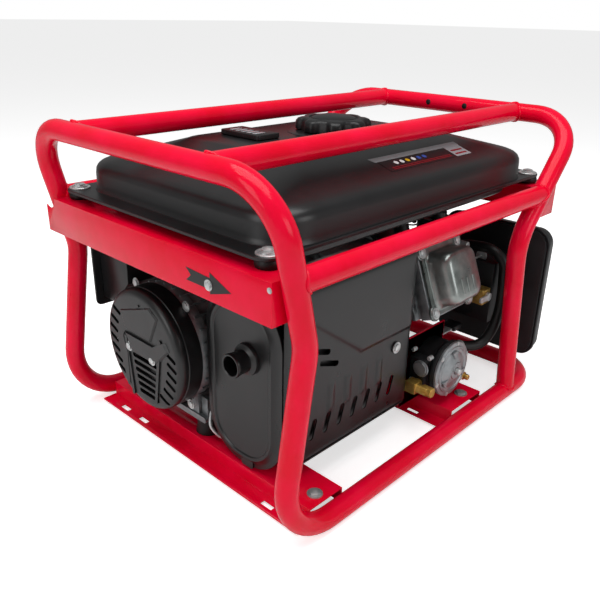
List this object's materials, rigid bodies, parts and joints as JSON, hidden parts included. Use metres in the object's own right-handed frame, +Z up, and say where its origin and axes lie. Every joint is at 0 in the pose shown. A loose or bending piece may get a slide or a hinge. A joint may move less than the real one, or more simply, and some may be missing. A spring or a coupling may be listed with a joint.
{
  "type": "portable generator",
  "caption": "Open-frame portable generator: engine and alternator on one line inside a bent-tube frame, flat fuel tank above, gas regulator and control panel at the sides.",
  "frame": {"origin": "middle of the footprint, at ground level under the lower rails", "axes": "+X from the alternator end to the recoil-starter end, +Y to the control-panel side, +Z up"},
  "size_m": [0.6084, 0.4466, 0.4147],
  "materials": {
    "red_paint": "glossy crimson powder coat",
    "black_paint": "fine-textured black coat",
    "black_plastic": "moulded black",
    "grey_plastic": "moulded dark grey",
    "cast_aluminium": "as-cast, slightly rough",
    "zinc_steel": "bright zinc plate",
    "dark_steel": "dark oiled steel",
    "brass": "turned brass",
    "rubber": "matt black rubber",
    "copper": "lacquered copper windings on a steel core"
  },
  "bodies": {
    "chassis": {"alternator_end_loop": "red_paint", "engine_end_base_loop": "red_paint", "engine_end_hoop": "red_paint", "top_tube_exhaust_side": "red_paint", "mid_tube_exhaust_side": "red_paint", "top_tube_panel_side": "red_paint", "mid_tube_panel_side": "red_paint", "crossbar_alternator_end": "red_paint", "crossbar_engine_end": "red_paint", "base_channel_alternator": "red_paint", "base_channel_engine": "red_paint", "rubber_mount_1": "rubber", "rubber_mount_2": "rubber", "rubber_mount_3": "rubber", "rubber_mount_4": "rubber", "louvre_shield": "black_plastic", "end_cover": "black_plastic", "rear_bell": "cast_aluminium", "rear_bearing": "zinc_steel", "stator": "dark_steel", "front_adapter": "cast_aluminium", "crankcase": "cast_aluminium", "crankcase_cover": "cast_aluminium", "cylinder_barrel": "cast_aluminium", "cylinder_head": "cast_aluminium", "valve_cover": "zinc_steel", "spark_plug": "zinc_steel", "plug_cap": "rubber", "blower_housing": "black_paint", "recoil_housing": "black_paint", "muffler": "black_paint", "exhaust_pipe": "dark_steel", "heat_shield": "black_paint", "fuel_tank": "black_paint", "fuel_gauge": "black_plastic", "carburetor": "cast_aluminium", "fuel_valve_body": "brass", "air_cleaner_base": "grey_plastic", "regulator_cover": "zinc_steel", "regulator_body": "dark_steel", "regulator_bracket": "red_paint", "gas_inlet_fitting": "brass", "vapour_hose": "rubber", "panel_box": "black_paint", "panel_face": "grey_plastic", "outlet": "black_plastic"},
    "rotor": {"crankshaft": "zinc_steel", "alternator_rotor": "copper", "flywheel": "cast_aluminium"},
    "piston": {"piston": "cast_aluminium"},
    "cap": {"fuel_cap": "black_plastic"},
    "pulley": {"recoil_pulley": "grey_plastic"},
    "grip": {"recoil_grip": "black_plastic"},
    "choke": {"choke_lever": "black_plastic"},
    "fuel_lever": {"fuel_valve_lever": "zinc_steel"},
    "rocker": {"engine_switch": "black_plastic"},
    "breaker": {"breaker_button": "black_plastic"},
    "primer": {"primer_button": "grey_plastic"},
    "dipstick": {"oil_dipstick": "black_plastic"},
    "filter_cover": {"air_cleaner_cover": "black_plastic"}
  },
  "joints": [
    {"name": "crank_spin", "type": "hinge", "parent": "chassis", "child": "rotor", "pos_m": [0, 0.062, 0.138], "axis": [1, 0, 0], "continuous": true},
    {"name": "piston_stroke", "type": "slide", "parent": "chassis", "child": "piston", "axis": [0, -0.9336, 0.3584], "range_m": [-0.027, 0.027]},
    {"name": "cap_turn", "type": "hinge", "parent": "chassis", "child": "cap", "pos_m": [0.025, 0.008, 0.386], "axis": [0, 0, 1], "range_deg": [0, 90]},
    {"name": "starter_pull", "type": "slide", "parent": "chassis", "child": "grip", "axis": [1, 0, 0], "range_m": [0, 0.45], "stiffness_N_per_m": 40},
    {"name": "pulley_spin", "type": "hinge", "parent": "chassis", "child": "pulley", "pos_m": [0.21, 0.062, 0.138], "axis": [1, 0, 0], "range_deg": [0, 720]},
    {"name": "choke_turn", "type": "hinge", "parent": "chassis", "child": "choke", "pos_m": [0.1563, -0.1209, 0.2048], "axis": [0, -1, 0], "range_deg": [0, 50]},
    {"name": "fuel_lever_turn", "type": "hinge", "parent": "chassis", "child": "fuel_lever", "pos_m": [0.1643, -0.1745, 0.1618], "axis": [0, -1, 0], "range_deg": [0, 90]},
    {"name": "switch_rock", "type": "hinge", "parent": "chassis", "child": "rocker", "pos_m": [-0.205, 0.1902, 0.231], "axis": [1, 0, 0], "range_deg": [0, 20]},
    {"name": "breaker_push", "type": "slide", "parent": "chassis", "child": "breaker", "axis": [0, -1, 0], "range_m": [0, 0.003], "stiffness_N_per_m": 500},
    {"name": "primer_push", "type": "slide", "parent": "chassis", "child": "primer", "axis": [0, 1, 0], "range_m": [0, 0.004], "stiffness_N_per_m": 400},
    {"name": "dipstick_pull", "type": "slide", "parent": "chassis", "child": "dipstick", "axis": [0, -1, 0], "range_m": [0, 0.06]},
    {"name": "cover_pull", "type": "slide", "parent": "chassis", "child": "filter_cover", "axis": [1, 0, 0], "range_m": [0, 0.06]}
  ],
  "couplings": [
    {"joint": "pulley_spin", "follows": "starter_pull", "rad_per_m": 27.027}
  ]
}
